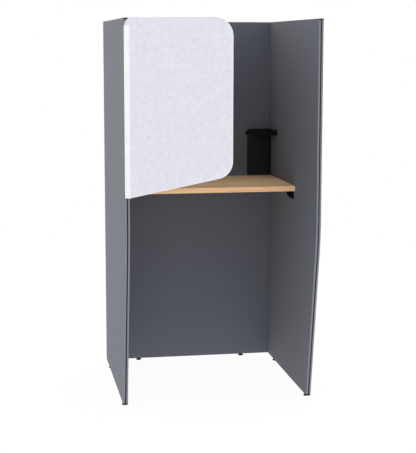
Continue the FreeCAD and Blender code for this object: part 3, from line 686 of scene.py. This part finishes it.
def feltRing(low, high, inset):
    # the outline drawn in by an inset, with the same number of points at every inset
    channelEdge = low.x + feltBoard["channelCover"] * mm
    slope = math.atan2(feltBoard["rise"] * mm, high.x - channelEdge)
    left, right, top = low.x + inset, high.x - inset, high.z - inset
    elbow = channelEdge + inset * math.tan(slope / 2)
    freeLow = low.z + inset / math.cos(slope) + (right - channelEdge) * math.tan(slope)
    free = feltBoard["freeCorner"] * mm - inset
    hinge = feltBoard["hingeCorner"] * mm - inset
    return roundedOutline([
        (left, low.z + inset, 0), (elbow, low.z + inset, 0), (right, freeLow, free),
        (right, top, free), (left, top, hinge),
    ])


def makeFelt():
    turn = screenTurn()
    local = [turn.inverted() @ vertex.co for vertex in nodes["screen_felt"].data.vertices]
    low = Vector([min(point[axis] for point in local) for axis in range(3)])
    high = Vector([max(point[axis] for point in local) for axis in range(3)])
    soft = feltBoard["softEdge"] * mm
    angles = [math.pi / 2 * step / feltBoard["edgeSteps"] for step in range(feltBoard["edgeSteps"] + 1)]
    profile = [(soft * feltBoard["flatMargin"], low.y)]
    profile += [(soft * (1 - math.sin(angle)), low.y + soft * (1 - math.cos(angle))) for angle in angles]
    profile += [(soft * (1 - math.cos(angle)), high.y - soft * (1 - math.sin(angle))) for angle in angles]
    profile.append((soft * feltBoard["flatMargin"], high.y))
    shape = bmesh.new()
    skinRings(shape, [
        [turn @ Vector((point.x, depth, point.y)) for point in feltRing(low, high, inset)]
        for inset, depth in profile
    ])
    addPiece("screen_felt_board", shape, "screen_felt", "screen", ["screen_felt"])


makeFelt()
print("felt board made")


# folded, pressed and moulded pieces with their edges eased, as the tools leave them
easedEdges = {
    "screen_channel": 0.7,
    "corner_shelf": 0.6,
    "shelf_prop_plate": 0.8,
    "shelf_hook": 0.7,
    "shelf_end_block_back": 2.0,
    "shelf_end_block_side": 2.0,
    "desk_bracket_left_front": 0.8,
    "desk_bracket_left_rear": 0.8,
    "desk_bracket_right_front": 0.8,
    "desk_bracket_right_rear": 0.8,
    "hinge_leaf_lower": 0.4,
    "hinge_leaf_upper": 0.4,
    "hinge_tongue_lower": 0.4,
    "hinge_tongue_upper": 0.4,
    "left_outer_skin": 1.8,
    "left_inner_skin": 1.8,
    "right_outer_skin": 1.8,
    "right_inner_skin": 1.8,
    "back_outer_skin": 1.8,
    "back_inner_skin": 1.8,
}
easing = {"segments": 3, "sharpAngle": 35.0, "flatAngle": 0.5, "weld": 1e-6}
holeRim = 400.0  # sharp lines of a skin that are shorter in all are the rims of its holes


def connectedGroups(items, neighbours):
    waiting = dict.fromkeys(items)
    groups = []
    while waiting:
        pending = [next(iter(waiting))]
        del waiting[pending[0]]
        group = []
        while pending:
            group.append(pending.pop())
            for other in neighbours(group[-1]):
                if other in waiting:
                    del waiting[other]
                    pending.append(other)
        groups.append(group)
    return groups


def longLines(edges, shortest):
    # leaves out the rims of holes, which meet no other sharp edge
    def meeting(edge):
        return [other for vertex in edge.verts for other in vertex.link_edges]

    lines = connectedGroups(edges, meeting)
    return [edge for line in lines if sum(each.calc_length() for each in line) > shortest for edge in line]


def easedCopy(nodeName, width):
    shape = bmesh.new()
    shape.from_mesh(nodes[nodeName].data)
    bmesh.ops.remove_doubles(shape, verts=shape.verts, dist=easing["weld"])
    bmesh.ops.dissolve_limit(
        shape, angle_limit=math.radians(easing["flatAngle"]), verts=shape.verts, edges=shape.edges)
    limit = math.radians(easing["sharpAngle"])
    sharp = [edge for edge in shape.edges if edge.is_manifold and edge.calc_face_angle() > limit]
    if slotOfNode[nodeName] == "panel_cloth":
        sharp = longLines(sharp, holeRim * mm)
    bmesh.ops.bevel(
        shape, geom=sharp, offset=width * mm, segments=easing["segments"], profile=0.5,
        affect="EDGES", clamp_overlap=True)
    for face in shape.faces:
        face.smooth = True
    piece = addPiece(nodeName + "_eased", shape, slotOfNode[nodeName], bodyOfNode[nodeName], [nodeName])
    piece.data.materials[0] = nodes[nodeName].data.materials[0]
    piece.modifiers.new("flatFaces", "WEIGHTED_NORMAL")


for nodeName, width in easedEdges.items():
    easedCopy(nodeName, width)
print("eased pieces made:", len(easedEdges))


# black moulded caps that close the ends of the side panels' front edges
edgeCaps = {
    "heights": {"top": 5.8, "bottom": 6.5},
    "leans": {"top": 0.0, "bottom": -0.187},  # way forwards for each way up, as the panel's edge goes there
    "depth": 12.0,
    "proud": 0.4,
    "over": 0.1,
    "round": 0.9,
    "soft": 1.2,
    "softBend": 0.3,  # of the soft edge, at its middle
    "sameLevel": 0.1,  # points this near to the end of the panel count as on it
}


def capRing(corners, inset, x):
    middle = sum((Vector(corner) for corner in corners), Vector((0, 0))) / len(corners)
    half = [max(abs(corner[axis] - middle[axis]) for corner in corners) for axis in range(2)]
    drawn = [
        (*[middle[axis] + (corner[axis] - middle[axis]) * (1 - inset / half[axis]) for axis in range(2)],
         edgeCaps["round"] * mm)
        for corner in corners
    ]
    return [Vector((x, point.x, point.y)) for point in roundedOutline(drawn)]


def makeEdgeCap(side, end):
    boxes = [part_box(side + "_outer_skin"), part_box(side + "_inner_skin")]
    proud, soft = edgeCaps["proud"] * mm, edgeCaps["soft"] * mm
    left = min(low[0] for low, high in boxes) - proud
    right = max(high[0] for low, high in boxes) + proud
    points = [vertex.co for vertex in nodes[side + "_outer_skin"].data.vertices]
    levels = [point.z for point in points]
    level, up = (max(levels), -1) if end == "top" else (min(levels), 1)
    endPoints = [point for point in points if abs(point.z - level) < edgeCaps["sameLevel"] * mm]
    front = min(point.y for point in endPoints) - proud
    rear = front + edgeCaps["depth"] * mm
    rises = (-up * edgeCaps["over"] * mm, up * edgeCaps["heights"][end] * mm)
    corners = [(front + edgeCaps["leans"][end] * rise, level + rise) for rise in rises]
    corners += [(rear, level + rise) for rise in reversed(rises)]
    bend = soft * edgeCaps["softBend"]
    profile = [(soft, left), (bend, left + bend), (0.0, left + soft)]
    profile += [(0.0, right - soft), (bend, right - bend), (soft, right)]
    shape = bmesh.new()
    skinRings(shape, [capRing(corners, inset, x) for inset, x in profile])
    addPiece(side + "_edge_cap_" + end, shape, "black_plastic", "booth")


for side in ("left", "right"):
    for end in ("top", "bottom"):
        makeEdgeCap(side, end)
print("edge caps made")


def ringAt(move, height, radiusAt, steps):
    angles = [2 * math.pi * step / steps for step in range(steps)]
    return [
        move @ Vector((radiusAt(angle) * math.cos(angle), radiusAt(angle) * math.sin(angle), height))
        for angle in angles
    ]


# feet: moulded pads with a ribbed rim, on blackened stems with a hexagon and a rolled thread
footPad = {
    # heights and the share of the radius, from the floor up
    "profile": [
        (0.0, 0.86), (0.05, 0.89), (0.22, 0.985), (0.28, 1.0), (0.5, 1.0),
        (0.56, 0.985), (0.88, 0.83), (0.96, 0.77), (1.0, 0.7),
    ],
    "ribs": 40,
    "ribDepth": 0.22,
    "steps": 240,
}
footStem = {
    "pitch": 1.25,
    "threadDepth": 0.62,
    "turnSteps": 24,
    "pitchSteps": 6,
    "tipLength": 1.2,
    "tipDepth": 1.2,  # of the thread's depth
    "flats": 13.0,
    "cornerCut": 0.6,
    "cornerSlope": 2.0,  # way outwards for each way up
    "hexHeight": 3.7,
    "hexSteps": 72,
}


def makeFootPad(nodeName):
    low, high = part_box(nodeName)
    middle = (Vector(low) + Vector(high)) / 2
    move = Matrix.Translation((middle.x, middle.y, low[2]))
    radius = (high[0] - low[0]) / 2
    height = high[2] - low[2]
    shape = bmesh.new()
    rings = []
    for rise, share in footPad["profile"]:
        ribbed = footPad["ribDepth"] * mm if share == 1.0 else 0.0

        def rim(angle, reach=radius * share, depth=ribbed):
            return reach - depth * (0.5 - 0.5 * math.cos(footPad["ribs"] * angle))

        rings.append(ringAt(move, rise * height, rim, footPad["steps"]))
    skinRings(shape, rings)
    addPiece(nodeName + "_moulded", shape, slotOfNode[nodeName], bodyOfNode[nodeName], [nodeName])


def hexagonRings(move, height):
    half = footStem["flats"] * mm / 2
    cut = footStem["cornerCut"] * mm
    sixth = math.pi / 3
    rings = []
    for rise in (0.0, cut / 2, cut, height - cut, height - cut / 2, height):
        fromEnd = min(rise, height - rise)

        def flats(angle, limit=half + footStem["cornerSlope"] * fromEnd):
            return min(half / math.cos((angle + sixth / 2) % sixth - sixth / 2), limit)

        rings.append(ringAt(move, rise, flats, footStem["hexSteps"]))
    return rings


def threadRings(move, start, end, radius):
    pitch = footStem["pitch"] * mm
    depth = footStem["threadDepth"] * mm
    count = round((end - start) / pitch * footStem["pitchSteps"])
    rings = []
    for index in range(count + 1):
        height = start + (end - start) * index / count
        tip = max(0.0, 1 - (end - height) / (footStem["tipLength"] * mm))

        def flank(angle, height=height, tip=tip):
            phase = (height / pitch - angle / (2 * math.pi)) % 1.0
            cut = abs(2 * phase - 1) * (1 - tip) + footStem["tipDepth"] * tip
            return radius - depth * cut

        rings.append(ringAt(move, height, flank, footStem["turnSteps"]))
    return rings


def makeFootStem(nodeName):
    low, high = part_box(nodeName)
    middle = (Vector(low) + Vector(high)) / 2
    move = Matrix.Translation((middle.x, middle.y, low[2]))
    radius = min((vertex.co.xy - middle.xy).length for vertex in nodes[nodeName].data.vertices
                 if vertex.co.z > middle.z)
    hexHeight = footStem["hexHeight"] * mm
    shape = bmesh.new()
    skinRings(shape, hexagonRings(move, hexHeight), smooth=False)
    skinRings(shape, threadRings(move, hexHeight, high[2] - low[2], radius))
    addPiece(nodeName + "_threaded", shape, slotOfNode[nodeName], bodyOfNode[nodeName], [nodeName])


for nodeName in nodes:
    if nodeName.startswith("foot_pad_"):
        makeFootPad(nodeName)
    if nodeName.startswith("foot_stem_"):
        makeFootStem(nodeName)
print("feet made")


# pan head screws with a cross recess, and blind rivets with the dimple that the broken mandrel leaves
screwHead = {"crossWidth": 1.2, "crossLength": 4.6, "crossDepth": 1.3, "bulge": 2.6, "rings": 14, "steps": 64}
rivetHead = {
    "dimple": 1.5,
    "dimpleDepth": 0.8,
    "dimplePower": 4,  # the higher, the flatter its floor
    "bulge": 2.2,
    "rings": 10,
    "steps": 40,
}
solidReading = {"rimShare": 0.99, "endReach": 0.01}  # how near to the rim or the end a point counts as on it
shankTip = 0.5  # of the shank's radius


def separateSolids(nodeName, back):
    shape = bmesh.new()
    shape.from_mesh(nodes[nodeName].data)
    bmesh.ops.remove_doubles(shape, verts=shape.verts, dist=easing["weld"])

    def joined(vertex):
        return [edge.other_vert(vertex) for edge in vertex.link_edges]

    groups = connectedGroups(shape.verts, joined)
    solids = [[back @ vertex.co for vertex in group] for group in groups]
    shape.free()
    return solids


def headPlace(points):
    # the middle of the head's seat, the way the head points, its radius and height, and the shank's
    low = Vector([min(point[axis] for point in points) for axis in range(3)])
    high = Vector([max(point[axis] for point in points) for axis in range(3)])
    size = high - low
    axis = min(range(3), key=lambda each: abs(size[each - 1] - size[each - 2]))
    middle = (low + high) / 2

    def reach(point):
        return math.hypot(point[axis - 1] - middle[axis - 1], point[axis - 2] - middle[axis - 2])

    radius = max(reach(point) for point in points)
    seat = next(point[axis] for point in points if reach(point) > radius * solidReading["rimShare"])
    sign = 1 if high[axis] - seat < seat - low[axis] else -1
    way = Vector([sign if each == axis else 0 for each in range(3)])
    top, end = (high, low) if sign > 0 else (low, high)
    endPoints = [point for point in points if abs(point[axis] - end[axis]) < solidReading["endReach"] * mm]
    shank = min(reach(point) for point in endPoints)
    place = middle.copy()
    place[axis] = seat
    return place, way, radius, abs(top[axis] - seat), shank, abs(seat - end[axis])


def crossDip(x, y):
    width, length = screwHead["crossWidth"] * mm, screwHead["crossLength"] * mm
    slot = min(abs(x), abs(y)) < width / 2 and max(abs(x), abs(y)) < length / 2
    return screwHead["crossDepth"] * mm if slot else 0.0


def mandrelDip(x, y):
    away = math.hypot(x, y) / (rivetHead["dimple"] * mm)
    return rivetHead["dimpleDepth"] * mm * max(0.0, 1 - away ** rivetHead["dimplePower"])


def domedFastener(shape, spot, look, dip):
    place, way, radius, height, shank, length = spot
    move = Matrix.Translation(place) @ way.to_track_quat("Z", "Y").to_matrix().to_4x4()
    steps, count = look["steps"], look["rings"]
    rings = [
        ringAt(move, -length, lambda angle: shank * shankTip, steps),
        ringAt(move, -length + shank, lambda angle: shank, steps),
        ringAt(move, 0.0, lambda angle: shank, steps),
    ]
    for index in range(count):
        share = 1 - index / count
        rise = height * (1 - share ** look["bulge"]) ** (1 / look["bulge"])
        ring = []
        for step in range(steps):
            angle = 2 * math.pi * step / steps
            x, y = radius * share * math.cos(angle), radius * share * math.sin(angle)
            ring.append(move @ Vector((x, y, rise - dip(x, y))))
        rings.append(ring)
    skinRings(shape, rings)


def makeFasteners(nodeName, look, dip, turn):
    shape = bmesh.new()
    for points in separateSolids(nodeName, turn.inverted()):
        domedFastener(shape, headPlace(points), look, dip)
    bmesh.ops.transform(shape, matrix=turn, verts=shape.verts)
    addPiece(nodeName + "_headed", shape, slotOfNode[nodeName], bodyOfNode[nodeName], [nodeName])


for nodeName in ("bracket_wall_screws", "bracket_desk_screws", "shelf_screws", "shelf_prop_screws"):
    makeFasteners(nodeName, screwHead, crossDip, Matrix.Identity(4))
makeFasteners("screen_rivets", rivetHead, mandrelDip, screenTurn())
print("fasteners made")
